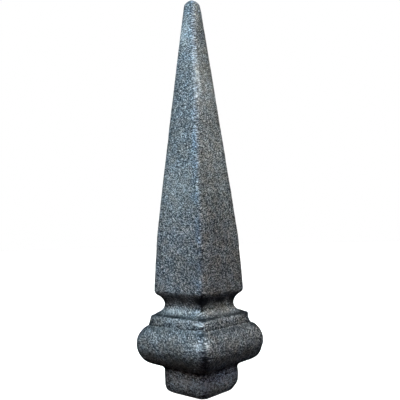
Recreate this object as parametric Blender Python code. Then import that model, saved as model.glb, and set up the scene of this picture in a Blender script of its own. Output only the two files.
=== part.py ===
"""Forged steel fence spike: one solid forging, welded by its square stub to the top of a bar.

Metres, +Z up. The origin is the centre of the stub's flat underside, and the four flat sides face +X, -X, +Y and -Y.
At every height the spike is a square with rounded corners, and the corners are tighter or fuller from one height to
the next, so the solid is a loft. Each of its levels has a height, a half width (from the axis to a flat side) and a
corner radius. The levels follow arcs and straight stretches of one profile, from the underside up to the tip.
"""

import math
from collections import namedtuple

import bmesh
import bpy

MM = 0.001

# Heights above the underside
STUB_TOP = 8.4 * MM
BEAD_LEVEL = 18.2 * MM
BAND_FOOT = 25.0 * MM
BAND_SHOULDER = 27.55 * MM
WAIST_LEVEL = 32.6 * MM
BLADE_FOOT = 37.7 * MM
BLADE_BEND = 57.5 * MM
DOME_FOOT = 147.7 * MM
TOTAL_HEIGHT = 150.4 * MM

# Half widths, from the axis to a flat side
STUB_HALF = 10.0 * MM
BAND_FOOT_HALF = 14.15 * MM
BAND_SHOULDER_HALF = 13.65 * MM
WAIST_HALF = 9.76 * MM
BLADE_FOOT_HALF = 12.25 * MM
BLADE_BEND_HALF = 11.27 * MM
DOME_FOOT_HALF = 2.72 * MM

# Radii of the round stretches of the profile, outwards and upwards where the two differ
UNDERSIDE_REACH = 3.2 * MM
UNDERSIDE_RISE = 3.8 * MM
ROOT_FILLET = 2.0 * MM
BEAD_REACH = 7.7 * MM
BEAD_DROP = 7.75 * MM
BEAD_RISE = 8.0 * MM
BAND_ARRIS = 1.1 * MM
COVE_REACH = 2.4 * MM
COVE_DROP = 3.25 * MM
THROAT_RADIUS = 4.2 * MM
BLADE_ARRIS = 2.4 * MM

# The blade's sides swell by this much between the bend and the tip, and the band's foot stands up from its valley
BLADE_BELLY = 0.1 * MM
VALLEY_RISE = 0.25 * MM

# Slopes of the bead's underside, of the ledge on the band and of the lip under the blade, from the horizontal
UNDERSIDE_SLOPE = math.radians(27)
LEDGE_SLOPE = math.radians(26)
LIP_SLOPE = math.radians(41)

# Corner radii of the square sections
UNDERSIDE_CORNER = 2.6 * MM
STUB_CORNER = 1.7 * MM
ROOT_CORNER = 2.0 * MM
BEAD_CORNER = 3.6 * MM
BAND_CORNER = 2.5 * MM
WAIST_CORNER = 2.0 * MM
BLADE_CORNER = 1.5 * MM
DOME_CORNER = 1.7 * MM

# Facets round each corner of a section, and levels on the blade's taper
CORNER_STEPS = 6
TAPER_STEPS = 8

# The last level of the dome, in degrees round its quarter, short of the tip where all its points meet
DOME_END = 82

STEEL_COLOUR = (0.115, 0.125, 0.135, 1.0)

Level = namedtuple("Level", "height half corner")


def arc(centre, radii, angles, steps, corners):
    """Levels along an arc of the profile, as (height, half width) pairs. Angle 0 is outwards and 90 degrees is up."""
    levels = []
    for i in range(steps + 1):
        share = i / steps
        angle = math.radians(angles[0] + (angles[1] - angles[0]) * share)
        height = centre[0] + radii[0] * math.sin(angle)
        half = centre[1] + radii[1] * math.cos(angle)
        levels.append(Level(height, half, corners[0] + (corners[1] - corners[0]) * share))
    return levels


def slope_angle(radii, slope):
    """How far round an arc, in degrees from the outward direction, the profile has this slope."""
    return math.degrees(math.atan2(radii[0], radii[1] * math.tan(slope)))


def stub_levels():
    """The square stub: a flat underside, a rounded arris, plain sides and the fillet under the bead."""
    arris_radii = (UNDERSIDE_RISE, UNDERSIDE_REACH)
    arris_centre = (UNDERSIDE_RISE, STUB_HALF - UNDERSIDE_REACH)
    arris = arc(arris_centre, arris_radii, (-90, 0), 6, (UNDERSIDE_CORNER, STUB_CORNER))
    fillet_radii = (ROOT_FILLET, ROOT_FILLET)
    fillet_end = 180 - slope_angle(fillet_radii, UNDERSIDE_SLOPE)
    fillet_centre = (STUB_TOP, STUB_HALF + ROOT_FILLET)
    fillet = arc(fillet_centre, fillet_radii, (180, fillet_end), 5, (STUB_CORNER, ROOT_CORNER))
    return arris + fillet


def bead_levels():
    """The half round bead, centred on the plane of the stub's sides. It is a little fuller above than below."""
    centre = (BEAD_LEVEL, STUB_HALF)
    lower_radii = (BEAD_DROP, BEAD_REACH)
    upper_radii = (BEAD_RISE, BEAD_REACH)
    start = -slope_angle(lower_radii, UNDERSIDE_SLOPE)
    end = math.degrees(math.asin((BAND_FOOT - BEAD_LEVEL) / BEAD_RISE))
    lower = arc(centre, lower_radii, (start, 0), 8, (ROOT_CORNER, BEAD_CORNER))
    upper = arc(centre, upper_radii, (0, end), 7, (BEAD_CORNER, BAND_CORNER))
    return lower + upper[1:]


def band_levels():
    """The band leans slightly inwards and turns over a rounded arris onto its sloping ledge."""
    radii = (BAND_ARRIS, BAND_ARRIS)
    centre = (BAND_SHOULDER, BAND_SHOULDER_HALF - BAND_ARRIS)
    foot = Level(BAND_FOOT + VALLEY_RISE, BAND_FOOT_HALF, BAND_CORNER)
    arris = arc(centre, radii, (0, slope_angle(radii, LEDGE_SLOPE)), 4, (BAND_CORNER, BAND_CORNER))
    return [foot] + arris


def cove_levels():
    """The hollow between the band's ledge and the blade: two arcs that meet at the waist, its narrowest level."""
    lower_radii = (COVE_DROP, COVE_REACH)
    upper_radii = (THROAT_RADIUS, THROAT_RADIUS)
    lower_centre = (WAIST_LEVEL, WAIST_HALF + COVE_REACH)
    upper_centre = (WAIST_LEVEL, WAIST_HALF + THROAT_RADIUS)
    start = 180 + slope_angle(lower_radii, LEDGE_SLOPE)
    end = 180 - slope_angle(upper_radii, LIP_SLOPE)
    lower = arc(lower_centre, lower_radii, (start, 180), 6, (WAIST_CORNER, WAIST_CORNER))
    upper = arc(upper_centre, upper_radii, (180, end), 5, (WAIST_CORNER, BLADE_CORNER))
    return lower + upper[1:]


def blade_levels():
    """The blade: a rounded foot, a short steep stretch up to the bend, and a long taper with a slight belly."""
    radii = (BLADE_ARRIS, BLADE_ARRIS)
    centre = (BLADE_FOOT, BLADE_FOOT_HALF - BLADE_ARRIS)
    foot = arc(centre, radii, (-slope_angle(radii, LIP_SLOPE), 0), 5, (BLADE_CORNER, BLADE_CORNER))
    taper = []
    for i in range(TAPER_STEPS + 1):
        share = i / TAPER_STEPS
        height = BLADE_BEND + (DOME_FOOT - BLADE_BEND) * share
        half = BLADE_BEND_HALF + (DOME_FOOT_HALF - BLADE_BEND_HALF) * share
        belly = BLADE_BELLY * math.sin(math.pi * share)
        corner = BLADE_CORNER + (DOME_CORNER - BLADE_CORNER) * share
        taper.append(Level(height, half + belly, corner))
    return foot + taper


def dome_levels():
    """The blunt tip: half an ellipse, whose sections turn from squarish to round."""
    radii = (TOTAL_HEIGHT - DOME_FOOT, DOME_FOOT_HALF)
    dome = arc((DOME_FOOT, 0), radii, (0, DOME_END), 6, (DOME_CORNER, DOME_CORNER))
    return [Level(level.height, level.half, min(level.corner, level.half)) for level in dome[1:]]


def section(level):
    """The points of one rounded square, anticlockwise, with CORNER_STEPS steps round each corner."""
    points = []
    straight = level.half - level.corner
    for quarter in range(4):
        diagonal = math.radians(90 * quarter + 45)
        for i in range(CORNER_STEPS + 1):
            angle = math.radians(90 * (quarter + i / CORNER_STEPS))
            x = math.copysign(straight, math.cos(diagonal)) + level.corner * math.cos(angle)
            y = math.copysign(straight, math.sin(diagonal)) + level.corner * math.sin(angle)
            points.append((x, y, level.height))
    return points


def loft(name, levels, top_height):
    """A closed mesh through the sections of these levels: flat below, and drawn to one point on top."""
    mesh = bmesh.new()
    rings = [[mesh.verts.new(point) for point in section(level)] for level in levels]
    for lower, upper in zip(rings, rings[1:]):
        for i, vert in enumerate(lower):
            j = (i + 1) % len(lower)
            mesh.faces.new((vert, lower[j], upper[j], upper[i]))
    mesh.faces.new(list(reversed(rings[0])))
    top = mesh.verts.new((0, 0, top_height))
    last = rings[-1]
    for i, vert in enumerate(last):
        mesh.faces.new((vert, last[(i + 1) % len(last)], top))
    bmesh.ops.remove_doubles(mesh, verts=mesh.verts, dist=0.01 * MM)
    bmesh.ops.recalc_face_normals(mesh, faces=mesh.faces)
    data = bpy.data.meshes.new(name)
    mesh.to_mesh(data)
    mesh.free()
    data.shade_smooth()
    data.set_sharp_from_angle(angle=math.radians(35))
    return bpy.data.objects.new(name, data)


def forged_steel():
    """Bare forged steel, dark grey and dull from shot blasting."""
    material = bpy.data.materials.new("forged_steel")
    material.use_nodes = True
    shader = material.node_tree.nodes["Principled BSDF"]
    shader.inputs["Base Color"].default_value = STEEL_COLOUR
    shader.inputs["Roughness"].default_value = 0.55
    shader.inputs["Metallic"].default_value = 0.7
    return material


def build():
    for obj in list(bpy.data.objects):
        bpy.data.objects.remove(obj)
    collection = bpy.data.collections.new("fence_spike")
    bpy.context.scene.collection.children.link(collection)
    levels = stub_levels() + bead_levels() + band_levels() + cove_levels() + blade_levels() + dome_levels()
    spike = loft("forged_spike", levels, TOTAL_HEIGHT)
    spike.data.materials.append(forged_steel())
    collection.objects.link(spike)


build()
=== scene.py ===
# %% [markdown]
# # A forged fence spike
# This lesson dresses one steel forging: the spike that is welded to the top of a fence bar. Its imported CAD
# model gives the frame, in metres, with +Z up and the origin in the middle of the stub's underside. The
# real spike was squeezed from red-hot bar between two dies, its flash was trimmed off, and it was blasted
# with steel shot. So its form is simple and its skin is not: that skin is what we make here, over the same
# named sizes as the CAD model.

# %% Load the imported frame
import math
from itertools import product

import bpy
import numpy as np
from mathutils import Euler, Matrix, Vector


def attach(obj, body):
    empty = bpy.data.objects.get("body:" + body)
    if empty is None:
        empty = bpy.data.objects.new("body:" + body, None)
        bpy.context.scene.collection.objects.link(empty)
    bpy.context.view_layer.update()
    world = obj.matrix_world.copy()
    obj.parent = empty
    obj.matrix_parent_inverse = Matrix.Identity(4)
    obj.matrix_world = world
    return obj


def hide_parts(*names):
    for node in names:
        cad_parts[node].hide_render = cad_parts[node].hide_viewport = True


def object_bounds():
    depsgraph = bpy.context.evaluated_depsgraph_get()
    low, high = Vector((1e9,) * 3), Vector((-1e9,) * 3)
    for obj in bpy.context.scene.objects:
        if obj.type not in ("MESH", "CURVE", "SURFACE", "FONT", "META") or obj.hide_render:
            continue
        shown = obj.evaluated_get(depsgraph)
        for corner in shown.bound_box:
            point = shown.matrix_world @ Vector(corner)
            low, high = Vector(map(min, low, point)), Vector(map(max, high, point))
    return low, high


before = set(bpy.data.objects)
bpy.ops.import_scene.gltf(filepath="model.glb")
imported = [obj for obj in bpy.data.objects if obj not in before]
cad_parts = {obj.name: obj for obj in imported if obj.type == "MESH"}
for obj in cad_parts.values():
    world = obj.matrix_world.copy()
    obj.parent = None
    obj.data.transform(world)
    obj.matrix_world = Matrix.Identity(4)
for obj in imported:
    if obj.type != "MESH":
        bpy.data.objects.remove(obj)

MM = 0.001
cad_low, cad_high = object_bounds()
print("CAD box in mm:", [round((high - low) / MM, 1) for low, high in zip(cad_low, cad_high)])

# %% [markdown]
# ## The camera
# The picture was taken from close by, nearly level with the lower third of the blade, towards one upright
# corner, so that two sides show. A camera could be placed by eye, but a corner view is touchy: a degree of
# turn shifts the two sides' widths. So these values come from fitting the spike's outline: turn, rise and
# roll in degrees, and places.

# %% Place the camera
CAMERA_TURN = 41.43
CAMERA_RISE = 4.91
CAMERA_ROLL = -1.48
CAMERA_DISTANCE = 190.7 * MM
CAMERA_ASIDE = 1.22 * MM
CAMERA_HEIGHT = 54.9 * MM
CAMERA_NEAR = 0.01
LENS_MM = 45

turn = Matrix.Rotation(math.radians(CAMERA_TURN), 4, "Z")
tilt = Matrix.Rotation(math.radians(90 + CAMERA_RISE), 4, "X")
roll = Matrix.Rotation(math.radians(CAMERA_ROLL), 4, "Z")
stand = Matrix.Translation(turn @ Vector((CAMERA_ASIDE, -CAMERA_DISTANCE, CAMERA_HEIGHT)))
camera = bpy.data.objects.new("camera", bpy.data.cameras.new("camera"))
camera.data.lens = LENS_MM
camera.data.clip_start = CAMERA_NEAR
camera.matrix_world = stand @ turn @ tilt @ roll
bpy.context.scene.collection.objects.link(camera)
bpy.context.scene.camera = camera
print("camera at", [round(place / MM, 1) for place in camera.matrix_world.translation], "mm")

# %% [markdown]
# ## The profile
# Seen square on, the spike's outline is a chain of arcs and straight stretches. From below: a rounded arris
# and the plain wall of the stub, the fillet under the bead, the bead, the band with its arris and ledge,
# the cove with its waist, and the blade with a rounded foot, a bend, a long taper and a blunt dome. Such a
# form could be sculpted or cut with bevels. Here it is worked out from named sizes, because then it agrees
# with the CAD model everywhere.

# %% Name the sizes of the profile, in millimetres
STUB_TOP, BEAD_LEVEL, BAND_FOOT, BAND_SHOULDER = 8.4, 18.2, 25.0, 27.55
WAIST_LEVEL, BLADE_FOOT, BLADE_BEND, DOME_FOOT, TOTAL_HEIGHT = 32.6, 37.7, 57.5, 147.7, 150.4
STUB_HALF, BAND_FOOT_HALF, BAND_SHOULDER_HALF, WAIST_HALF = 10.0, 14.15, 13.65, 9.76
BLADE_FOOT_HALF, BLADE_BEND_HALF, DOME_FOOT_HALF = 12.25, 11.27, 2.72
UNDERSIDE_REACH, UNDERSIDE_RISE, ROOT_FILLET = 3.2, 3.8, 2.0
BEAD_REACH, BEAD_DROP, BEAD_RISE, BAND_ARRIS = 7.7, 7.75, 8.0, 1.1
COVE_REACH, COVE_DROP, THROAT_RADIUS, BLADE_ARRIS = 2.4, 3.25, 4.2, 2.4
BLADE_BELLY, VALLEY_RISE = 0.1, 0.25
UNDERSIDE_SLOPE, LEDGE_SLOPE, LIP_SLOPE = math.radians(27), math.radians(26), math.radians(41)
UNDERSIDE_CORNER, STUB_CORNER, ROOT_CORNER, BEAD_CORNER = 2.6, 1.7, 2.0, 3.6
BAND_CORNER, WAIST_CORNER, BLADE_CORNER, DOME_CORNER = 2.5, 2.0, 1.5, 1.7
STRETCH_POINTS = 60
DOME_END = 88


def arc(centre, radii, angles, corners):
    """Levels on an arc: height is its centre's plus rise times the sine, half width its centre's plus reach
    times the cosine, and the corner radius goes evenly from one value to the other."""
    share = np.linspace(0, 1, STRETCH_POINTS)
    angle = np.radians(angles[0] + (angles[1] - angles[0]) * share)
    heights = centre[0] + radii[0] * np.sin(angle)
    halves = centre[1] + radii[1] * np.cos(angle)
    return np.stack([heights, halves, corners[0] + (corners[1] - corners[0]) * share], axis=1)


def slope_angle(radii, slope):
    """How far round an arc, in degrees from the outward direction, the profile has this slope."""
    return math.degrees(math.atan2(radii[0], radii[1] * math.tan(slope)))


# %% Chain the stretches of the profile, from the underside up
def lower_stretches():
    """The stub, the bead and the band, each stretch an array of (height, half width, corner radius)."""
    fillet_end = 180 - slope_angle((ROOT_FILLET, ROOT_FILLET), UNDERSIDE_SLOPE)
    bead_start = -slope_angle((BEAD_DROP, BEAD_REACH), UNDERSIDE_SLOPE)
    bead_end = math.degrees(math.asin((BAND_FOOT - BEAD_LEVEL) / BEAD_RISE))
    ledge_start = slope_angle((BAND_ARRIS, BAND_ARRIS), LEDGE_SLOPE)
    return [
        arc((UNDERSIDE_RISE, STUB_HALF - UNDERSIDE_REACH), (UNDERSIDE_RISE, UNDERSIDE_REACH), (-90, 0),
            (UNDERSIDE_CORNER, STUB_CORNER)),
        arc((STUB_TOP, STUB_HALF + ROOT_FILLET), (ROOT_FILLET, ROOT_FILLET), (180, fillet_end),
            (STUB_CORNER, ROOT_CORNER)),
        arc((BEAD_LEVEL, STUB_HALF), (BEAD_DROP, BEAD_REACH), (bead_start, 0), (ROOT_CORNER, BEAD_CORNER)),
        arc((BEAD_LEVEL, STUB_HALF), (BEAD_RISE, BEAD_REACH), (0, bead_end), (BEAD_CORNER, BAND_CORNER)),
        np.array([[BAND_FOOT + VALLEY_RISE, BAND_FOOT_HALF, BAND_CORNER]]),
        arc((BAND_SHOULDER, BAND_SHOULDER_HALF - BAND_ARRIS), (BAND_ARRIS, BAND_ARRIS), (0, ledge_start),
            (BAND_CORNER, BAND_CORNER)),
    ]


def upper_stretches():
    """The cove, the blade and the dome. The taper swells by its belly times the sine of the way up."""
    ledge_end = 180 + slope_angle((COVE_DROP, COVE_REACH), LEDGE_SLOPE)
    throat_end = 180 - slope_angle((THROAT_RADIUS, THROAT_RADIUS), LIP_SLOPE)
    lip_start = -slope_angle((BLADE_ARRIS, BLADE_ARRIS), LIP_SLOPE)
    share = np.linspace(0, 1, STRETCH_POINTS)
    belly = BLADE_BELLY * np.sin(np.pi * share)
    halves = BLADE_BEND_HALF + (DOME_FOOT_HALF - BLADE_BEND_HALF) * share + belly
    taper = np.stack([BLADE_BEND + (DOME_FOOT - BLADE_BEND) * share, halves,
                      BLADE_CORNER + (DOME_CORNER - BLADE_CORNER) * share], axis=1)
    dome = arc((DOME_FOOT, 0), (TOTAL_HEIGHT - DOME_FOOT, DOME_FOOT_HALF), (0, DOME_END),
               (DOME_CORNER, DOME_CORNER))
    dome[:, 2] = np.minimum(dome[:, 2], dome[:, 1])
    return [
        arc((WAIST_LEVEL, WAIST_HALF + COVE_REACH), (COVE_DROP, COVE_REACH), (ledge_end, 180),
            (WAIST_CORNER, WAIST_CORNER)),
        arc((WAIST_LEVEL, WAIST_HALF + THROAT_RADIUS), (THROAT_RADIUS, THROAT_RADIUS), (180, throat_end),
            (WAIST_CORNER, BLADE_CORNER)),
        arc((BLADE_FOOT, BLADE_FOOT_HALF - BLADE_ARRIS), (BLADE_ARRIS, BLADE_ARRIS), (lip_start, 0),
            (BLADE_CORNER, BLADE_CORNER)),
        taper,
        dome,
    ]


profile = np.concatenate(lower_stretches() + upper_stretches())
print("profile:", len(profile), "points, widest half", round(profile[:, 1].max(), 2), "mm")

# %% [markdown]
# ## Rings and columns
# The skin is one grid. Its rings lie on the profile and its columns run up the spike. A ring is a square
# with rounded corners: each column has a corner's centre and the way the skin faces there. Evenly spaced
# rings would waste points on the plain blade, so the rings lie closer together in the moulded part, and the
# columns in the round corners.

# %% Space the rings along the profile
RING_GAP_LOW, RING_GAP_BLADE = 0.33, 0.45
FINE_BELOW = 43.0
UNDERSIDE_RINGS = 6


def ring_levels():
    """Levels at equal shares of the profile's length, where a stretch counts more the closer its rings have
    to be. Before them come smaller copies of the first level, which fill the flat underside."""
    steps = np.diff(profile, axis=0)
    middle_heights = (profile[1:, 0] + profile[:-1, 0]) / 2
    gaps = np.where(middle_heights < FINE_BELOW, RING_GAP_LOW, RING_GAP_BLADE)
    places = np.concatenate([[0], np.cumsum(np.hypot(steps[:, 0], steps[:, 1]) / gaps)])
    wanted = np.linspace(0, places[-1], int(places[-1]))
    levels = np.stack([np.interp(wanted, places, profile[:, i]) for i in range(3)], axis=1)
    inward = np.linspace(0, 1, UNDERSIDE_RINGS + 1)[1:-1, None]
    return np.concatenate([levels[:1] * inward, levels])


levels = ring_levels()
print("rings:", len(levels))

# %% Space the columns round the section
CORNER_COLUMNS, SIDE_COLUMNS = 17, 39
CORNER_CROWDING = 1.35


def section_columns():
    """For each column, the corner's centre as a share of the straight half width, and the way the skin
    faces. The side from one corner to the next has its centres evenly between the two corners' and faces
    one way."""
    even = np.linspace(-1, 1, CORNER_COLUMNS)
    turned = 45 + 45 * np.sign(even) * np.abs(even) ** CORNER_CROWDING
    along = np.arange(1, SIDE_COLUMNS + 1) / (SIDE_COLUMNS + 1)
    centres, facings = [], []
    for quarter in range(4):
        here = np.sign(np.cos(np.radians([90 * quarter + 45, 90 * quarter - 45])))
        there = np.sign(np.cos(np.radians([90 * quarter + 135, 90 * quarter + 45])))
        centres += [np.tile(here, (CORNER_COLUMNS, 1)), here + (there - here) * along[:, None]]
        angles = np.radians(90 * quarter + np.concatenate([turned, np.full(SIDE_COLUMNS, 90.0)]))
        facings.append(np.stack([np.cos(angles), np.sin(angles)], axis=1))
    return np.concatenate(centres), np.concatenate(facings)


centres, facings = section_columns()
print("columns:", len(centres))


# %% Work out the smooth skin
ROUNDEST = 0.62


def smooth_step(low, high, value):
    """0 at low, 1 at high, and a smooth curve between them. Low may be the larger of the two."""
    share = np.clip((value - low) / (high - low), 0, 1)
    return share * share * (3 - 2 * share)


def smooth_skin():
    """A point is the corner's centre, at the half width less the corner radius, plus the corner radius the
    way the skin faces, at the level's height. In the dome it slides from there to a circle, out along its
    own direction. The result is an array of rings by columns by three, in metres."""
    height, half = levels[:, :1, None], levels[:, 1:2, None]
    corner = np.minimum(levels[:, 2:, None], ROUNDEST * half)
    square = (half - corner) * centres + corner * facings
    circle = half * square / np.linalg.norm(square, axis=2, keepdims=True)
    roundness = smooth_step(DOME_FOOT_HALF, DOME_CORNER, half) * (height > BLADE_BEND)
    plan = square + (circle - square) * roundness
    return np.concatenate([plan, np.broadcast_to(height, plan[:, :, :1].shape)], axis=2) * MM


def skin_facing(skin):
    """The way each point of the skin faces: the cross product of the steps to its neighbours, round and
    then up."""
    round_steps = np.roll(skin, -1, axis=1) - np.roll(skin, 1, axis=1)
    facing = np.cross(round_steps, np.gradient(skin, axis=0))
    return facing / np.linalg.norm(facing, axis=2, keepdims=True)


skin = smooth_skin()
facing = skin_facing(skin)
print("skin:", skin.shape[0] * skin.shape[1], "points")

# %% [markdown]
# ## Noise for the relief
# Forged skin has bumps of every size. Blender's Displace modifier could make them with a texture, but then
# we could not tell hollows from crests afterwards, and the finish needs that. So the noise is worked out
# here: random numbers stand on a lattice, and a point blends the eight around it. The lattice is turned so
# that it lines up with no side.

# %% Make the noise
LATTICE = 96
LATTICE_TURN = np.array(Euler((0.5, 0.9, 0.4)).to_matrix())


def noise(points, size, seed):
    """Smooth noise from -1 to 1 with bumps about as wide as size, in metres: the eight random numbers round
    a point, each weighted by how near it is along the three directions, with a smooth step for the
    nearness."""
    numbers = np.random.default_rng(seed).uniform(-1, 1, (LATTICE, LATTICE, LATTICE))
    cells = points @ LATTICE_TURN.T / size
    base = np.floor(cells).astype(int)
    near = cells - base
    near = near * near * (3 - 2 * near)
    total = 0
    for step in product((0, 1), repeat=3):
        weight = np.prod(np.where(np.array(step) == 1, near, 1 - near), axis=-1)
        i, j, k = np.moveaxis((base + step) % LATTICE, -1, 0)
        total = total + weight * numbers[i, j, k]
    return total


print("noise sample:", np.round(noise(skin[200, :3], 2 * MM, 1), 2))

# %% [markdown]
# ## The relief
# Five things made this skin. The dies left broad, shallow unevenness. Scale that was pressed in and fell
# out again left small hollows, and the shot left a grain of fine dimples. The blade's sides are a little
# pillowed above. The dies were worn here and there: so the two corners without a seam are fuller in some
# places and leaner in others, the bead swells under its widest level, and the ledge is a little hollow,
# which makes the band's arris stand up. The underside was sawn, so it stays flat, and the top of the dome
# stays smooth, where the columns meet.

# %% Add the unevenness, the hollows and the grain
BROAD, LUMPS, GRAIN, HOLLOWS = 0.08 * MM, 0.035 * MM, 0.018 * MM, 0.03 * MM
BROAD_SIZE, LUMP_SIZE, HOLLOW_SIZE = 9 * MM, 3.2 * MM, 1.9 * MM
COARSE_GRAIN_SIZE, FINE_GRAIN_SIZE = 1.3 * MM, 0.8 * MM
COARSE_GRAIN_SHARE, FINE_GRAIN_SHARE = 0.6, 0.4
HOLLOW_STARTS, HOLLOW_FULL = 0.35, 0.8
LEDGE_HOLLOW, LEDGE_LEVEL, LEDGE_WIDTH = 0.16 * MM, 28.8, 0.35
BEAD_SWELL, SWELL_LEVEL, SWELL_WIDTH = 0.2 * MM, 12.5, 1.8
OUT_ALL_OVER = 0.06 * MM
FAR_CORNER_SHARE, FAR_CORNER_MOST = 1.1, 2.2 * MM
FAR_LEVELS = (0, 1.5, 4, 7, 11, 12.5, 14, 16, 18, 21, 24, 25.5, 27, 28.5, 30, 31, 34, 40, 110, 140, 144, 150)
LEFT_FULLNESS = (0, 0.05, 0, 0.05, 0.06, 0.08, 0.05, 0.06, 0.14, 0.16, 0.22, 0.06, 0.05, 0.2, 0.08, 0,
                 0, 0.08, 0.08, 0, 0, 0)
RIGHT_FULLNESS = (0, -0.1, 0.3, 0.38, 0, 0.2, 0.08, -0.12, 0.08, 0.15, 0.28, -0.08, -0.28, 0.42, -0.05, -0.15,
                  0, 0, 0, 0, 0.15, 0)
PILLOW_LEVELS = (0, 60, 85, 110, 140, 146, 149)
PILLOW_RISE = (0, 0, 0.12, 0.28, 0.3, 0.2, 0)

heights = skin[:, :, 2] / MM


def bell(distance, width):
    """A bell curve: e to the power of minus the square of distance over width. It is 1 at no distance."""
    return np.exp(-((distance / width) ** 2))


def at_height(level, reach):
    """1 at that height in millimetres, and less and less above and below it."""
    return bell(heights - level, reach)


broad = BROAD * noise(skin, BROAD_SIZE, 11) + LUMPS * noise(skin, LUMP_SIZE, 12)
coarse_grain = COARSE_GRAIN_SHARE * noise(skin, COARSE_GRAIN_SIZE, 13)
grain = GRAIN * (coarse_grain + FINE_GRAIN_SHARE * noise(skin, FINE_GRAIN_SIZE, 14))
hollows = -HOLLOWS * smooth_step(HOLLOW_STARTS, HOLLOW_FULL, noise(skin, HOLLOW_SIZE, 15))
plan = np.abs(skin[:, :, :2])
across_face = plan.min(axis=2) / plan.max(axis=2)
pillow = np.interp(heights, PILLOW_LEVELS, PILLOW_RISE) * MM * (1 - across_face ** 2)
rounding = np.minimum(levels[:, 2:], ROUNDEST * levels[:, 1:2]) * MM
far_reach = np.minimum(FAR_CORNER_SHARE * rounding, FAR_CORNER_MOST)
far_corner = bell((skin[:, :, 0] - skin[:, :, 1]) / math.sqrt(2), far_reach)
far_corner = far_corner * (skin[:, :, 0] * skin[:, :, 1] > 0)
left_fullness = np.interp(heights, FAR_LEVELS, LEFT_FULLNESS)
right_fullness = np.interp(heights, FAR_LEVELS, RIGHT_FULLNESS)
fullness = np.where(skin[:, :, 0] < 0, left_fullness, right_fullness)
swell = BEAD_SWELL * at_height(SWELL_LEVEL, SWELL_WIDTH)
fuller = far_corner * fullness * MM + swell + OUT_ALL_OVER + pillow
relief = broad + grain + hollows + fuller - LEDGE_HOLLOW * at_height(LEDGE_LEVEL, LEDGE_WIDTH)
print("relief in mm, from", round(relief.min() / MM, 3), "to", round(relief.max() / MM, 3))

# %% [markdown]
# ## The trimmed seam
# The two dies met along two opposite corners, where metal squeezed out as a thin fin. The fin was sheared
# off. What is left is a low ragged ridge up the blade and over the band, and next to nothing on the bead.
# In the cove the metal folded over instead of filling the die, and there the seam is an open crease.

# %% Raise and sink the seam on two corners
SEAM_LEVELS = (0, 7.5, 10, 13, 18, 20.5, 22, 24.5, 26.5, 28.5, 30, 31.3, 33, 35, 38, 42, 60, 150)
SEAM_RISE = (0, 0.02, -0.03, -0.01, -0.03, -0.02, 0.02, 0.05, 0.1, 0.02, 0.01, -0.07, -0.16, -0.2,
             0.02, 0.05, 0.06, 0.05)
SEAM_WIDTH = (0.3, 0.4, 0.5, 1.2, 0.6, 0.35, 0.3, 0.4, 0.4, 0.4, 0.3, 0.3, 0.4, 0.4, 0.35, 0.3, 0.3, 0.3)
WANDER, WANDER_LENGTH = 0.25 * MM, 5 * MM
RAGGED_MIDDLE, RAGGED_SWING, RAGGED_LENGTH = 0.7, 0.8, 1.6 * MM

rise = np.interp(heights, SEAM_LEVELS, SEAM_RISE) * MM
width = np.interp(heights, SEAM_LEVELS, SEAM_WIDTH) * MM
aside = (skin[:, :, 0] + skin[:, :, 1]) / math.sqrt(2)
seam_corners = skin[:, :, 0] * skin[:, :, 1] < 0
up_only = skin * (0, 0, 1)
off_seam = aside - WANDER * noise(up_only, WANDER_LENGTH, 20)
on_seam = seam_corners * bell(off_seam, width)
ragged = RAGGED_MIDDLE + RAGGED_SWING * noise(up_only, RAGGED_LENGTH, 21)
seam = rise * on_seam * ragged
print("seam in mm, from", round(seam.min() / MM, 3), "to", round(seam.max() / MM, 3))
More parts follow.
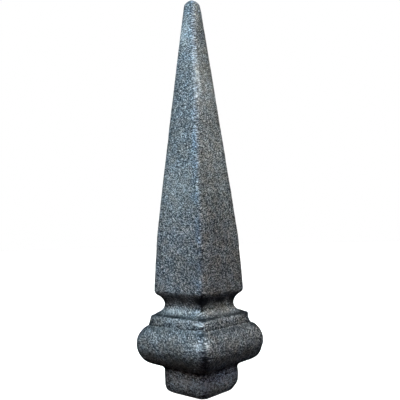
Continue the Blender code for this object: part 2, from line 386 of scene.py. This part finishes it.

# %% [markdown]
# ## Dents, rubbed places and painted light and shade
# A few marks are big enough to be told one by one: knocks and pits on the band, a burr and a dent where the
# cove's seam ends, and bright places on the near corners of the band and the bead, partly rubbed steel and
# partly painted highlight. The wide ones change only the brightness: they match stretches of a side that
# are brighter or duller than the rest in the picture, and so paint light and shade, such as a lighter left
# side and a darker far corner by the tip, a darker lower blade on the right and a darker foot of the stub.
# Each mark has a place, how far it reaches across and up, how far it stands out (less than nothing for a
# dent), and how much brightness it paints (less than nothing for soot in the pits and for painted shade).

# %% List the marks and press them in
MARKS = (
    # x, y, height, across, up and out in millimetres, and bright
    (12.5, -13.6, 26.75, 1.0, 0.28, 0.18, 2.4),
    (10.9, -13.7, 27.05, 1.3, 0.25, 0.1, 1.5),
    (12.3, 11.5, 28.9, 3.0, 0.8, 0, -0.6),
    (6.2, 0, 114, 6, 9, 0, 0.22),
    (3.5, 0, 137, 4, 6, 0, -0.5),
    (10.8, 0, 60, 10, 16, 0, -0.36),
    (8.6, 0, 87, 8, 8, 0, 0.12),
    (0, -3.5, 137, 4, 6, 0, 0.42),
    (0, -6.2, 114, 6, 11, 0, -0.08),
    (0, -9.2, 75, 8, 9.5, 0, 0.17),
    (0, -12.0, 44, 9, 5, 0, 0.02),
    (0, -14, 26.8, 12, 1.2, 0, 0.19),
    (0, -12.5, 30.5, 10, 1.0, 0, 0.07),
    (17, 0, 19.5, 12, 2, 0, 0.1),
    (0, -15, 23.5, 12, 1.2, 0, 0.07),
    (12, 0, 43, 9, 5, 0, -0.18),
    (10, 0, 34, 8, 1.5, 0, -0.22),
    (15, 0, 24, 10, 1.2, 0, -0.26),
    (16.5, 0, 15.6, 12, 1.6, 0, -0.2),
    (10, 0, 2.4, 10, 1.6, 0, -0.32),
    (0, -10, 2.4, 10, 1.6, 0, -0.16),
    (0, -10, 5.6, 10, 2.2, 0, 0.1),
    (13.9, 9.0, 27.6, 2.6, 0.9, 0.0, -0.6),
    (9.6, -11.2, 59.6, 1.5, 1.8, -0.03, -0.4),
    (9.3, -10.9, 65.5, 1.1, 1.4, -0.03, -0.3),
    (8.4, -11.1, 62.0, 0.9, 0.9, -0.03, -0.3),
    (10.6, -11.3, 52.0, 0.8, 1.6, 0, -0.25),
    (11.8, -13.4, 27.8, 1.9, 0.35, 0, -0.45),
    (12.9, -13.3, 25.9, 0.6, 0.5, -0.35, -1.0),
    (9.5, -14.0, 25.7, 0.8, 0.28, -0.16, -1.0),
    (11.9, -14.0, 25.95, 1.0, 0.22, -0.14, -0.8),
    (-10.8, -13.9, 26.4, 0.7, 0.5, -0.18, -0.84),
    (-8.2, -13.9, 26.6, 0.6, 0.6, -0.16, -0.7),
    (-5.2, -14, 25.7, 0.7, 0.35, -0.18, -0.84),
    (-1.6, -14, 26.2, 0.9, 0.35, -0.16, -0.84),
    (2.3, -14, 25.8, 1.2, 0.3, -0.18, -0.98),
    (13.9, -8.0, 26.3, 0.8, 0.4, -0.12, -0.5),
    (13.9, -2.5, 26.2, 0.8, 0.4, -0.12, -0.4),
    (12.0, -11.6, 28.6, 2.2, 0.6, 0.0, -0.6),
    (14.2, -14.6, 23.9, 2.2, 0.7, 0.0, -0.4),
    (14.4, -17.1, 20.9, 1.3, 0.9, 0.05, 0.6),
    (14.2, -17.3, 19.4, 1.0, 0.8, 0.04, 0.4),
    (16.9, -15.4, 20.6, 0.8, 0.8, 0.06, 0.6),
    (17.2, -14.8, 21.8, 1.2, 0.9, 0.0, 0.3),
    (16.8, -16.5, 16.6, 1.2, 1.0, -0.1, -0.45),
    (15.8, -15.6, 13.8, 3.2, 2.0, -0.1, -0.36),
    (9.2, -9.9, 32.1, 0.35, 0.3, 0.15, 0.9),
    (9.4, -10.0, 31.1, 0.4, 0.35, -0.22, -1.2),
    (9.8, -9.4, 34.2, 2.0, 1.7, -0.12, -1.1),
    (6.5, -10.2, 31.0, 0.7, 0.5, -0.08, -0.4),
    (8.0, -10.1, 30.6, 0.8, 0.5, 0.05, 0.5),
    (9.9, -8.9, 6.0, 0.3, 0.9, 0.08, 0.6),
    (9.7, -9.1, 4.2, 0.3, 0.7, 0.08, 0.5),
    (9.2, -9.5, 5.8, 0.4, 1.6, -0.06, -0.5),
    (-9.4, -9.4, 1.2, 3.0, 1.2, 0.25, 0.0),
    (9.4, 9.4, 2.0, 3.0, 2.5, -0.35, 0.0),
)


def pull(mark):
    """How strongly a mark acts on each point of the skin, from 0 to 1: a bell curve round its place."""
    x, y, height, across, up = np.array(mark[:5]) * MM
    sideways = (skin[:, :, 0] - x) ** 2 + (skin[:, :, 1] - y) ** 2
    return np.exp(-sideways / across ** 2 - ((skin[:, :, 2] - height) / up) ** 2)


pulls = [pull(mark) for mark in MARKS]
dents = sum(pulled * mark[5] * MM for pulled, mark in zip(pulls, MARKS))
mark_brightness = sum(pulled * mark[6] for pulled, mark in zip(pulls, MARKS))
print("marks in mm, from", round(dents.min() / MM, 3), "to", round(dents.max() / MM, 3))

# %% Put the relief on the skin, inside the CAD box
FLAT_BELOW, ROUGH_ABOVE = 0.2, 1.5
SMOOTH_TOP, ROUGH_UNDER_TOP = 0.02, 0.8

calm = smooth_step(FLAT_BELOW, ROUGH_ABOVE, heights)
calm = calm * smooth_step(TOTAL_HEIGHT - SMOOTH_TOP, TOTAL_HEIGHT - ROUGH_UNDER_TOP, heights)
forged = skin + facing * ((relief + seam + dents) * calm)[:, :, None]
forged = np.clip(forged, np.array(cad_low), np.array(cad_high))
print("skin box in mm:", np.round(np.ptp(forged.reshape(-1, 3), axis=0) / MM, 2))

# %% [markdown]
# ## Rubs, soot, painted light and shade, coarseness and blue
# Handling wears the arrises of a forging bright, and oxide stays dark in its creases. The same two numbers
# also carry painted light and shade: a painted highlight strip up the two seam corners with a second one
# beside it near the top, painted light on rings round the bead, the blade, the band's arris, the cove's
# flare and the stub, and painted shade under the blade's lip, under the bead, at the stub's foot, in a dark
# line on the ledge, in the valley between bead and band, and along the two far corners. Blender can find
# crests and creases in the shader, but attributes on the mesh are sturdier: they go with it wherever it
# goes. The first says how much rub and painted highlight each point has, the second how much soot and
# painted shade. The third says how coarse the grain is: smooth on the ledge and just under the band, where
# the shot glanced off, and coarse on the stub and the foot of the blade, and finer again towards the tip.
# The fourth says how blue the skin is: a patchy blue runs beside the seam.

# %% Work out the four attributes
# Painted light: rings of added brightness on the bead, the blade, the band's arris, the cove's flare and the
# stub.
PAINTED_LIGHT_RINGS = ((19.8, 1.8, 0.07), (74, 12, 0.08), (27.8, 0.4, 0.4), (30.5, 0.9, 0.38), (5.6, 2.0, 0.4))
# Painted shade: darker rings under the blade's lip, on the blade's foot, under the bead and in its root, at
# the stub's foot, in a dark line on the ledge and in the valley between bead and band.
PAINTED_SHADE_RINGS = ((34.5, 1.7, 0.68), (47, 7, 0.06), (15.5, 1.6, 0.24), (1.3, 1.4, 0.4), (28.7, 0.4, 0.95),
               (25.25, 0.24, 0.7), (24.1, 0.7, 0.3), (26.1, 0.6, 0.2), (9.7, 0.9, 0.8))
# Painted shade along the two far corners, where the skin turns away from the lamps, stronger low down.
FAR_CORNER_SHADE_LEVELS, FAR_CORNER_SHADE = (0, 30, 45), (0.8, 0.8, 0.42)
BLUED_LEVELS, BLUENESS = (0, 10, 24, 36, 38, 98, 110, 150), (0.2, 0.2, 0.3, 0.2, 0.5, 0.5, 0.1, 0.05)
# The strip is a painted highlight up the two seam corners, and the second strip a fainter painted highlight
# beside it near the top.
STRIP_LEVELS = (0, 24, 36, 38, 60, 90, 104, 110, 124, 132, 142, 150)
STRIP_BRIGHTNESS = (0, 0, 0, 0.12, 0.12, 0.14, 0.2, 0.42, 0.46, 0.34, 0.2, 0.1)
STRIP_ASIDE_LEVELS, STRIP_ASIDE = (0, 90, 112, 150), (0.4, 0.4, 0.05, 0.05)
COARSE_LEVELS = (0, 9, 12, 20, 23, 24.5, 25.5, 28, 28.5, 29.3, 30, 36, 40, 60, 75, 90, 100, 132, 142, 150)
COARSENESS = (2.2, 2.2, 0.85, 0.85, 0.9, 0.6, 1.5, 1.4, 0.5, 0.5, 1.0, 0.9, 1.35, 1.3, 1.12, 1.12, 1.0,
              0.95, 0.75, 0.65)
PATCH_MIDDLE, PATCH_SWING, PATCH_SIZE = 0.85, 0.6, 2.4 * MM
STRIP_WIDTH = 0.8 * MM
SECOND_ASIDE, SECOND_WIDTH, SECOND_BRIGHTNESS = 1.35 * MM, 0.5 * MM, 0.42
SECOND_LEVEL, SECOND_REACH = 115, 10
BROKEN_MIDDLE, BROKEN_SWING, BROKEN_SIZE = 0.8, 0.6, 1.2 * MM
CREASE_SHARE, NO_CREASE, FULL_CREASE = 0.8, 0.04, -0.12
LINE_SOOT, LINE_WIDTH = 0.15, 0.2 * MM
BLUED_ASIDE, BLUED_WIDTH = 0.9 * MM, 1.2 * MM
BLUED_MIDDLE, BLUED_SWING, BLUED_SIZE = 0.9, 1.3, 2.6 * MM


def rings_of(table):
    """The sum of bell curves at heights, from a table of (height, reach, strength)."""
    return sum(strength * at_height(level, reach) for level, reach, strength in table)


patchy = PATCH_MIDDLE + PATCH_SWING * noise(skin, PATCH_SIZE, 31)
# Painted highlight strips along the seam corners, broken up by noise.
strip_aside = np.interp(heights, STRIP_ASIDE_LEVELS, STRIP_ASIDE) * MM
strip = bell(off_seam + strip_aside, STRIP_WIDTH) * np.interp(heights, STRIP_LEVELS, STRIP_BRIGHTNESS)
second_strip = bell(aside - SECOND_ASIDE, SECOND_WIDTH) * SECOND_BRIGHTNESS
second_strip = second_strip * at_height(SECOND_LEVEL, SECOND_REACH)
broken = BROKEN_MIDDLE + BROKEN_SWING * noise(skin, BROKEN_SIZE, 32)
strip = seam_corners * (strip + second_strip) * broken
crease = seam_corners * bell(off_seam, CREASE_SHARE * width)
crease = crease * smooth_step(NO_CREASE, FULL_CREASE, rise / MM)
fine_line = LINE_SOOT * seam_corners * bell(off_seam, LINE_WIDTH) * (heights > BLADE_FOOT)

# Rubbed steel and painted light together: the painted light rings, the painted highlight strips and the
# marks' bright places.
worn = np.clip(rings_of(PAINTED_LIGHT_RINGS) * patchy + strip + np.maximum(mark_brightness, 0), 0, 1)
# Painted shade along the far corners.
far_corner_shade = far_corner * np.interp(heights, FAR_CORNER_SHADE_LEVELS, FAR_CORNER_SHADE)
# Soot in the seam's crease and in the pits, together with painted shade: the painted shade rings, the far
# corners and the marks' dark places.
sooty = np.clip(rings_of(PAINTED_SHADE_RINGS) * patchy + crease + fine_line + far_corner_shade + np.maximum(-mark_brightness, 0), 0, 1)
coarse = np.interp(heights, COARSE_LEVELS, COARSENESS)
blued = seam_corners * bell(aside + BLUED_ASIDE, BLUED_WIDTH) * np.interp(heights, BLUED_LEVELS, BLUENESS)
blued = np.clip(blued * (BLUED_MIDDLE + BLUED_SWING * noise(skin, BLUED_SIZE, 33)), 0, 1)
print("worn on average", round(worn.mean(), 3), "and sooty", round(sooty.mean(), 3))

# %% [markdown]
# ## The mesh
# The grid becomes quads. Its last ring joins a single point on top, and its first one a single point below,
# so the skin is closed. Quads are listed anticlockwise as seen from outside, which makes the faces point
# outwards.


# %% Build the spike's mesh
def close_grid(points, bottom, top):
    """The grid's points followed by the two poles, and its faces: quads between neighbours, wrapped round
    each ring, and fans of triangles at both ends."""
    rings, columns = points.shape[:2]
    index = np.arange(rings * columns).reshape(rings, columns)
    beside = np.roll(index, -1, axis=1)
    quads = np.stack([index[:-1], beside[:-1], beside[1:], index[1:]], axis=2).reshape(-1, 4)
    below = np.stack([beside[0], index[0], np.full(columns, rings * columns)], axis=1)
    above = np.stack([index[-1], beside[-1], np.full(columns, rings * columns + 1)], axis=1)
    return np.concatenate([points.reshape(-1, 3), [bottom, top]]), quads, np.concatenate([below, above])


def fill_mesh(name, points, quads, triangles):
    """A mesh from arrays of points, quads and triangles, shaded smooth."""
    corners = np.concatenate([quads.ravel(), triangles.ravel()])
    sizes = np.concatenate([np.full(len(quads), 4), np.full(len(triangles), 3)])
    mesh = bpy.data.meshes.new(name)
    mesh.vertices.add(len(points))
    mesh.vertices.foreach_set("co", points.ravel())
    mesh.loops.add(len(corners))
    mesh.loops.foreach_set("vertex_index", corners.astype(np.int32))
    mesh.polygons.add(len(sizes))
    mesh.polygons.foreach_set("loop_start", (np.cumsum(sizes) - sizes).astype(np.int32))
    mesh.update(calc_edges=True)
    mesh.validate()
    mesh.shade_smooth()
    return mesh


def write_attribute(mesh, name, values):
    """A number on each point of the mesh, with 0 on the two poles."""
    attribute = mesh.attributes.new(name, "FLOAT", "POINT")
    attribute.data.foreach_set("value", np.concatenate([values.ravel(), [0, 0]]).astype(np.float32))


points, quads, triangles = close_grid(forged, (0, 0, 0), (0, 0, TOTAL_HEIGHT * MM))
spike_mesh = fill_mesh("spike_skin", points, quads, triangles)
for name, values in (("worn", worn), ("sooty", sooty), ("coarse", coarse), ("blued", blued)):
    write_attribute(spike_mesh, name, values)
spike = bpy.data.objects.new("spike_skin", spike_mesh)
bpy.context.scene.collection.objects.link(spike)
print("spike:", 2 * len(quads) + len(triangles), "triangles")

# %% [markdown]
# ## Shader maths in Python
# A finish is sums and products of masks. Drawn by hand these are dozens of Math nodes. A small class lets
# us write them as Python: a Wire stands for a node's output, and each operator on it adds one Math node.


# %% Wrap a shader's sockets
class Finish:
    """A material under construction. Its node method makes any node."""

    def __init__(self, name):
        self.material = bpy.data.materials.new(name)
        self.material.use_nodes = True
        self.tree = self.material.node_tree
        self.shader = self.tree.nodes["Principled BSDF"]

    def node(self, kind, settings, inputs, output=0):
        """A node of this type. Its settings are set first, with stops for a ramp, then its sockets get
        their values or links. The wire of one output comes back."""
        made = self.tree.nodes.new("ShaderNode" + kind)
        for name, value in settings.items():
            if name == "stops":
                self.set_stops(made.color_ramp, value)
            else:
                setattr(made, name, value)
        for socket, value in inputs.items():
            self.plug(made.inputs[socket], value)
        return Wire(self, made.outputs[output])

    def set_stops(self, ramp, stops):
        """The ramp's stops, from (place, grey) or (place, colour) pairs."""
        while len(ramp.elements) < len(stops):
            ramp.elements.new(1)
        for element, (place, colour) in zip(ramp.elements, stops):
            element.position = place
            element.color = (*colour, 1) if isinstance(colour, tuple) else (colour, colour, colour, 1)

    def plug(self, socket, value):
        """Links a wire to a socket, or sets the socket's own value."""
        if isinstance(value, Wire):
            self.tree.links.new(value.socket, socket)
        elif isinstance(value, tuple) and len(socket.default_value) == 4:
            socket.default_value = (*value, 1)
        else:
            socket.default_value = value


class Wire:
    """The output of a shader node. Plus, minus and times on it add Math nodes."""

    def __init__(self, finish, socket):
        self.finish = finish
        self.socket = socket

    def maths(self, operation, first, second):
        return self.finish.node("Math", {"operation": operation}, {0: first, 1: second})

    def __add__(self, other):
        return self.maths("ADD", self, other)

    def __sub__(self, other):
        return self.maths("SUBTRACT", self, other)

    def __rsub__(self, other):
        return self.maths("SUBTRACT", other, self)

    def __mul__(self, other):
        return self.maths("MULTIPLY", self, other)

    __radd__ = __add__
    __rmul__ = __mul__


print("shader maths ready")

# %% [markdown]
# ## The forged steel
# Blasted forged steel is dark grey, with a cold bluish cast where thin oxide is left. Under the lamp it
# isn't even: each dimple has a bright rim and a dark floor, so the surface looks like fine granite. Two
# noises make that grain, in a bump and in the colour, and in the colour it is painted light and shade:
# painted shade on each dimple's floor and a painted highlight on its rim. They are flattened dimples, and
# ripples that are drawn out on a slant, the way the shot came. Here and there a white glint speck is painted
# into the colour, a painted highlight for a facet that catches the lamp. Wider clouds shift the grey towards
# brown or blue, a ramp over the height makes the stub bluer and the blade's foot redder, matched to the
# picture, and the blued attribute adds a patchy blue beside the seam. The others brighten the rubbed crests
# and paint highlights, darken the creases and paint shade, and say how coarse the grain is.

# %% Name the colours and sizes of the finish
# The dark and the bright grain colours are painted shade for the dimples' floors and painted highlight for
# their rims.
DIMPLE_SHADE, GREY_SKIN, DIMPLE_RIM_HIGHLIGHT = (0.022, 0.026, 0.031), (0.124, 0.133, 0.144), (0.61, 0.64, 0.67)
# The rubbed colour also paints highlights, and the soot colour also paints shade.
BROWN_SKIN, RUB_AND_HIGHLIGHT_STEEL, SOOT_AND_SHADE_BLACK = (0.13, 0.12, 0.105), (0.9, 0.92, 0.94), (0.012, 0.014, 0.017)
BLUE_CAST, WARM_CAST, SEAM_BLUE = (0.95, 1.0, 1.04), (1.05, 1.0, 0.95), (0.82, 0.98, 1.2)
# A white painted highlight, for the glint specks and the top of the tone ramp.
PAINTED_GLINT = (0.95, 0.97, 1.0)
NEUTRAL_TINT = 0.9
HEIGHT_TINTS = [(0.05, (0.88, 0.9, 0.94)), (0.09, (0.93, 0.9, 0.9)), (0.22, (0.92, 0.9, 0.9)),
                (0.26, (0.96, 0.9, 0.9)), (0.38, (0.955, 0.9, 0.9)), (0.48, (0.905, 0.9, 0.9)),
                (0.62, (0.91, 0.9, 0.905)), (0.75, (0.9, 0.9, 0.92))]
TONES = [(0.36, DIMPLE_SHADE), (0.51, GREY_SKIN), (0.65, DIMPLE_RIM_HIGHLIGHT), (0.71, PAINTED_GLINT)]
RIPPLE_SLANT, RIPPLE_STRETCH, RIPPLE_SQUEEZE, RIPPLE_DEPTH = math.radians(32), 2.2, 1.7, 0.25
DIMPLE_SQUEEZE = 1.7
DIMPLE_SIZE, RIPPLE_SIZE, MOTTLE_SIZE = 0.38 * MM, 0.42 * MM, 2.2 * MM
CAST_SIZE, GLINT_SIZE, CLOUD_SIZE = 3.5 * MM, 0.6 * MM, 14 * MM
DIMPLE_SHARE, RIPPLE_SHARE, MOTTLE_SHARE, WEAR_AND_HIGHLIGHT_LIFT = 0.75, 0.6, 0.05, 0.2
CAST_STARTS, CAST_FULL = 0.3, 0.7
GLINT_STARTS, GLINT_FULL, COARSE_GLINTS = 0.75, 0.82, 0.05
STAIN_STARTS, STAIN_FULL, STAIN_MOST = 0.45, 0.7, 0.35
GLINT_COVER, RUB_AND_HIGHLIGHT_COVER, SOOT_AND_SHADE_COVER = 0.9, 0.9, 0.95
ROUGHNESS, RUBBED_SMOOTHER, DIMPLE_SMOOTHER, SOOT_ROUGHER = 0.56, 0.12, 0.12, 0.25
BUMP_DEPTH, METALLIC, SPECULAR = 0.4 * MM, 0.55, 0.25

print("one grain of the finish is", DIMPLE_SIZE / MM, "mm wide")

# %% Start the blasted steel
steel = Finish("blasted_steel")
place = steel.node("TexCoord", {}, {}, output="Object")


def attribute(name):
    """The number of that name on each point of the mesh."""
    return steel.node("Attribute", {"attribute_name": name}, {}, output="Fac")


def speckle(size, detail, where=place):
    """Noise from 0 to 1 with spots about this wide, in metres."""
    sockets = {"Vector": where, "Scale": 1 / size, "Detail": detail, "Roughness": 0.5}
    return steel.node("TexNoise", {}, sockets)


def mixed(share, first, second):
    """The first colour, and that share of the second one."""
    return steel.node("Mix", {"data_type": "RGBA"}, {0: share, 6: first, 7: second}, output=2)


def measured_along(way):
    """How far each point lies along a way, as the dot product with it."""
    return steel.node("VectorMath", {"operation": "DOT_PRODUCT"}, {0: place, 1: way}, output="Value")


def between(value, low, high, most=1.0):
    """0 at low and the most at high, evenly between them."""
    return steel.node("MapRange", {}, {"Value": value, "From Min": low, "From Max": high, "To Max": most})


def times(first, second):
    """Two vectors or colours multiplied part by part."""
    return steel.node("VectorMath", {"operation": "MULTIPLY"}, {0: first, 1: second})


# %% Draw the grain and the tones
wear_and_highlight_wire, soot_and_shade_wire, coarse_wire, blued_wire = [attribute(n) for n in ("worn", "sooty", "coarse", "blued")]
cosine, sine = math.cos(RIPPLE_SLANT), math.sin(RIPPLE_SLANT)
ripple_ways = [(cosine / RIPPLE_STRETCH, -cosine / RIPPLE_STRETCH, -sine / RIPPLE_STRETCH),
               (RIPPLE_SQUEEZE * sine, -RIPPLE_SQUEEZE * sine, RIPPLE_SQUEEZE * cosine),
               (RIPPLE_DEPTH, RIPPLE_DEPTH, 0)]
slanted = steel.node("CombineXYZ", {}, {i: measured_along(way) for i, way in enumerate(ripple_ways)})
dimples = speckle(DIMPLE_SIZE, 1, times(place, (1, 1, DIMPLE_SQUEEZE)))
ripples = speckle(RIPPLE_SIZE, 0, slanted)
mottle = speckle(MOTTLE_SIZE, 1)
grain_wire = DIMPLE_SHARE * dimples + RIPPLE_SHARE * ripples - (DIMPLE_SHARE + RIPPLE_SHARE) / 2
# The grain sets the tone, so each dimple's floor is painted in shade and its rim in highlight; the first
# number on the mesh lifts it further as rubbed steel and painted highlight.
level = 0.5 + grain_wire * coarse_wire + MOTTLE_SHARE * mottle - MOTTLE_SHARE / 2 + WEAR_AND_HIGHLIGHT_LIFT * wear_and_highlight_wire
tone = steel.node("ValToRGB", {"stops": TONES}, {"Fac": level}, output="Color")
print("grain:", len(steel.tree.nodes), "nodes")

# %% Tint, stain, rub and soot it, and paint its highlights, glint specks and shade
cast = mixed(between(speckle(CAST_SIZE, 0), CAST_STARTS, CAST_FULL), BLUE_CAST, WARM_CAST)
# A patchy blue tint beside the seam.
cast = mixed(blued_wire, cast, SEAM_BLUE)
height_share = measured_along((0, 0, 1 / (TOTAL_HEIGHT * MM)))
height_tint = steel.node("ValToRGB", {"stops": HEIGHT_TINTS}, {"Fac": height_share}, output="Color")
tinted = times(times(tone, cast), height_tint)
tinted = steel.node("VectorMath", {"operation": "SCALE"}, {0: tinted, "Scale": 1 / NEUTRAL_TINT})
stain = between(speckle(CLOUD_SIZE, 2), STAIN_STARTS, STAIN_FULL, STAIN_MOST)
# Painted glint specks: white spots put into the colour where a facet would catch the lamp.
painted_glints = speckle(GLINT_SIZE, 0) + COARSE_GLINTS * coarse_wire - COARSE_GLINTS
painted_glints = between(painted_glints, GLINT_STARTS, GLINT_FULL)
colour = mixed(GLINT_COVER * painted_glints, mixed(stain, tinted, BROWN_SKIN), PAINTED_GLINT)
# Rubbed steel with painted highlight, then soot with painted shade, mixed in from the two numbers on the
# mesh.
colour = mixed(RUB_AND_HIGHLIGHT_COVER * wear_and_highlight_wire * wear_and_highlight_wire, colour, RUB_AND_HIGHLIGHT_STEEL)
colour = mixed(SOOT_AND_SHADE_COVER * soot_and_shade_wire, colour, SOOT_AND_SHADE_BLACK)
bump = steel.node("Bump", {}, {"Strength": 1.0, "Distance": BUMP_DEPTH, "Height": grain_wire * coarse_wire},
                  output="Normal")
roughness = ROUGHNESS - RUBBED_SMOOTHER * wear_and_highlight_wire - DIMPLE_SMOOTHER * dimples + SOOT_ROUGHER * soot_and_shade_wire
steel.plug(steel.shader.inputs["Base Color"], colour)
steel.plug(steel.shader.inputs["Roughness"], roughness)
steel.plug(steel.shader.inputs["Normal"], bump)
steel.shader.inputs["Metallic"].default_value = METALLIC
steel.shader.inputs["Specular IOR Level"].default_value = SPECULAR
spike_mesh.materials.append(steel.material)
print("finish:", len(steel.tree.nodes), "nodes")

# %% [markdown]
# ## Floor, light and room
# The spike stands on a plain pale floor. Nine soft lights hang round it, each told by how far right of the
# camera and how high up it is. Three strong and cool ones hang on the left and weaker ones on the right, so
# the two sides that show differ, and two small ones hang close to the tip, so the blade darkens downwards.
# Lights could be placed by eye, but these were fitted to the picture: a least squares solver chose the
# places of all but the one at the back out of a set of directions, with their powers and colours, and these
# were then changed a little. The floor has a light of its own that falls on nothing else, and it
# throws none back up, as if black cards lay just outside the picture: the floor is white, and the underside
# of the bead and the lip stay dark.

# %% Lay the floor
FLOOR_REACH = 6.0
PAPER_WHITE, PAPER_ROUGHNESS = 0.9, 0.9
floor_points = np.array([(-1, -1, 0), (1, -1, 0), (1, 1, 0), (-1, 1, 0)]) * FLOOR_REACH
floor_mesh = fill_mesh("floor", floor_points, np.array([[0, 1, 2, 3]]), np.zeros((0, 3), int))
floor = bpy.data.objects.new("floor", floor_mesh)
bpy.context.scene.collection.objects.link(floor)
paper = Finish("pale_paper")
paper.shader.inputs["Base Color"].default_value = (PAPER_WHITE, PAPER_WHITE, PAPER_WHITE, 1)
paper.shader.inputs["Roughness"].default_value = PAPER_ROUGHNESS
floor_mesh.materials.append(paper.material)
floor.visible_diffuse = False
floor.visible_glossy = False
print("floor reaches", FLOOR_REACH, "m")

# %% Hang the lights
LIGHTS = (
    # name, degrees right of the camera, degrees up, distance, aim's height, size, power, colour
    ("tip_right_high", 60, 60, 0.20, 0.12, 0.07, 0.242, (0.72, 0.83, 1.0)),
    ("low_left", -80, 20, 0.35, 0.08, 0.14, 0.555, (0.91, 0.98, 1.0)),
    ("high_left", -35, 65, 0.35, 0.08, 0.14, 0.545, (0.56, 0.82, 1.0)),
    ("low_front", 0, 5, 0.35, 0.08, 0.14, 0.095, (1.0, 0.65, 0.56)),
    ("tip_right", 60, 35, 0.20, 0.12, 0.07, 0.157, (1.0, 0.99, 0.58)),
    ("middle_left", -80, 50, 0.35, 0.08, 0.14, 0.375, (0.50, 0.87, 1.0)),
    ("low_right", 80, 20, 0.35, 0.08, 0.14, 0.214, (1.0, 0.92, 0.86)),
    ("right_front", 35, 20, 0.35, 0.08, 0.14, 0.196, (0.33, 0.57, 1.0)),
    ("back", 160, 45, 0.40, 0.08, 0.14, 0.45, (1.0, 1.0, 1.0)),
)


def soft_light(name, turned, raised, distance, aim_height, size, power, colour):
    """A square soft light, its size and distance in metres, that faces a point on the spike's axis. It
    hangs that many degrees to the right of the camera, as seen from above, and that many degrees above the
    point."""
    aim = Vector((0, 0, aim_height))
    around, up = math.radians(CAMERA_TURN + turned), math.radians(raised)
    away = Vector((math.sin(around) * math.cos(up), -math.cos(around) * math.cos(up), math.sin(up)))
    data = bpy.data.lights.new(name, "AREA")
    data.energy = power
    data.size = size
    data.color = colour
    light = bpy.data.objects.new(name, data)
    light.location = aim + away * distance
    light.rotation_euler = (-away).to_track_quat("-Z", "Y").to_euler()
    bpy.context.scene.collection.objects.link(light)


for light in LIGHTS:
    soft_light(*light)

# %% Light the floor by itself
FLOOR_LIGHT = 5.0
overhead = bpy.data.objects.new("floor_light", bpy.data.lights.new("floor_light", "SUN"))
overhead.data.energy = FLOOR_LIGHT
overhead.data.use_shadow = False
bpy.context.scene.collection.objects.link(overhead)
floor_only = bpy.data.collections.new("floor_only")
floor_only.objects.link(floor)
overhead.light_linking.receiver_collection = floor_only

# %% Fill the room with light
room = bpy.data.worlds.new("room")
room.use_nodes = True
background = room.node_tree.nodes["Background"]
background.inputs["Color"].default_value = (1, 1, 1, 1)
background.inputs["Strength"].default_value = 1.0
room.cycles_visibility.diffuse = False
room.cycles_visibility.glossy = False
bpy.context.scene.world = room
bpy.context.scene.view_settings.view_transform = "Standard"
print("room light:", room.name)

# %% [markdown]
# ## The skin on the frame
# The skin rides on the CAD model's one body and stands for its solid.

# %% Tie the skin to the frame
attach(spike, "root")
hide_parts("forged_spike")
